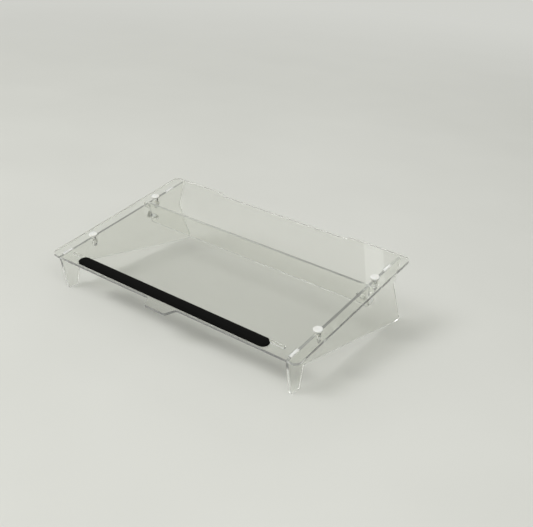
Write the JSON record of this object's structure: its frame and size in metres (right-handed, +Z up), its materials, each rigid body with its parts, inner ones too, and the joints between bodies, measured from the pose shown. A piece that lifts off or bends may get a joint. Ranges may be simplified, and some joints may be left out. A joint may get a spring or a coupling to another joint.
{
  "type": "sloping document holder",
  "caption": "Clear sheet document holder on two upright side panels, with a sloping platform, paper ledge, soft strip, pull tab and thumb screws.",
  "frame": {"origin": "on the desk, at the middle of the holder's overall width and depth", "axes": "+X along the platform's long side, to the user's right; +Y away from the user; +Z up"},
  "size_m": [0.545, 0.3748, 0.1367],
  "materials": {
    "clear_sheet": "clear colourless acrylic sheet with polished cut edges",
    "white_nylon": "moulded natural white nylon, slightly translucent",
    "soft_strip": "matte black soft rubber"
  },
  "bodies": {
    "stand": {"platform": "clear_sheet", "left_side_panel": "clear_sheet", "right_side_panel": "clear_sheet", "brace": "clear_sheet", "paper_ledge": "clear_sheet", "soft_strip": "soft_strip"},
    "left_front_thumb_screw": {"left_front_thumb_screw": "white_nylon"},
    "left_front_nut": {"left_front_nut": "white_nylon"},
    "left_rear_thumb_screw": {"left_rear_thumb_screw": "white_nylon"},
    "left_rear_nut": {"left_rear_nut": "white_nylon"},
    "left_brace_thumb_screw": {"left_brace_thumb_screw": "white_nylon"},
    "left_brace_nut": {"left_brace_nut": "white_nylon"},
    "right_front_thumb_screw": {"right_front_thumb_screw": "white_nylon"},
    "right_front_nut": {"right_front_nut": "white_nylon"},
    "right_rear_thumb_screw": {"right_rear_thumb_screw": "white_nylon"},
    "right_rear_nut": {"right_rear_nut": "white_nylon"},
    "right_brace_thumb_screw": {"right_brace_thumb_screw": "white_nylon"},
    "right_brace_nut": {"right_brace_nut": "white_nylon"}
  },
  "joints": [
    {"name": "left_front_screw_turn", "type": "hinge", "parent": "stand", "child": "left_front_thumb_screw", "pos_m": [-0.252, -0.08747, 0.08645], "axis": [0, -0.1994, 0.9799], "range_deg": [0, 720]},
    {"name": "left_front_nut_travel", "type": "slide", "parent": "stand", "child": "left_front_nut", "axis": [0, 0.1994, -0.9799], "range_m": [0, 0.002]},
    {"name": "left_rear_screw_turn", "type": "hinge", "parent": "stand", "child": "left_rear_thumb_screw", "pos_m": [-0.252, 0.07618, 0.11974], "axis": [0, -0.1994, 0.9799], "range_deg": [0, 720]},
    {"name": "left_rear_nut_travel", "type": "slide", "parent": "stand", "child": "left_rear_nut", "axis": [0, 0.1994, -0.9799], "range_m": [0, 0.002]},
    {"name": "left_brace_screw_turn", "type": "hinge", "parent": "stand", "child": "left_brace_thumb_screw", "pos_m": [-0.2545, 0.06325, 0.08548], "axis": [-1, 0, 0], "range_deg": [0, 720]},
    {"name": "left_brace_nut_travel", "type": "slide", "parent": "stand", "child": "left_brace_nut", "axis": [1, 0, 0], "range_m": [0, 0.002]},
    {"name": "right_front_screw_turn", "type": "hinge", "parent": "stand", "child": "right_front_thumb_screw", "pos_m": [0.252, -0.08747, 0.08645], "axis": [0, -0.1994, 0.9799], "range_deg": [0, 720]},
    {"name": "right_front_nut_travel", "type": "slide", "parent": "stand", "child": "right_front_nut", "axis": [0, 0.1994, -0.9799], "range_m": [0, 0.002]},
    {"name": "right_rear_screw_turn", "type": "hinge", "parent": "stand", "child": "right_rear_thumb_screw", "pos_m": [0.252, 0.07618, 0.11974], "axis": [0, -0.1994, 0.9799], "range_deg": [0, 720]},
    {"name": "right_rear_nut_travel", "type": "slide", "parent": "stand", "child": "right_rear_nut", "axis": [0, 0.1994, -0.9799], "range_m": [0, 0.002]},
    {"name": "right_brace_screw_turn", "type": "hinge", "parent": "stand", "child": "right_brace_thumb_screw", "pos_m": [0.2545, 0.06325, 0.08548], "axis": [1, 0, 0], "range_deg": [0, 720]},
    {"name": "right_brace_nut_travel", "type": "slide", "parent": "stand", "child": "right_brace_nut", "axis": [-1, 0, 0], "range_m": [0, 0.002]}
  ],
  "couplings": [
    {"joint": "left_front_screw_turn", "follows": "left_front_nut_travel", "rad_per_m": 6283.2},
    {"joint": "left_rear_screw_turn", "follows": "left_rear_nut_travel", "rad_per_m": 6283.2},
    {"joint": "left_brace_screw_turn", "follows": "left_brace_nut_travel", "rad_per_m": 6283.2},
    {"joint": "right_front_screw_turn", "follows": "right_front_nut_travel", "rad_per_m": 6283.2},
    {"joint": "right_rear_screw_turn", "follows": "right_rear_nut_travel", "rad_per_m": 6283.2},
    {"joint": "right_brace_screw_turn", "follows": "right_brace_nut_travel", "rad_per_m": 6283.2}
  ]
}
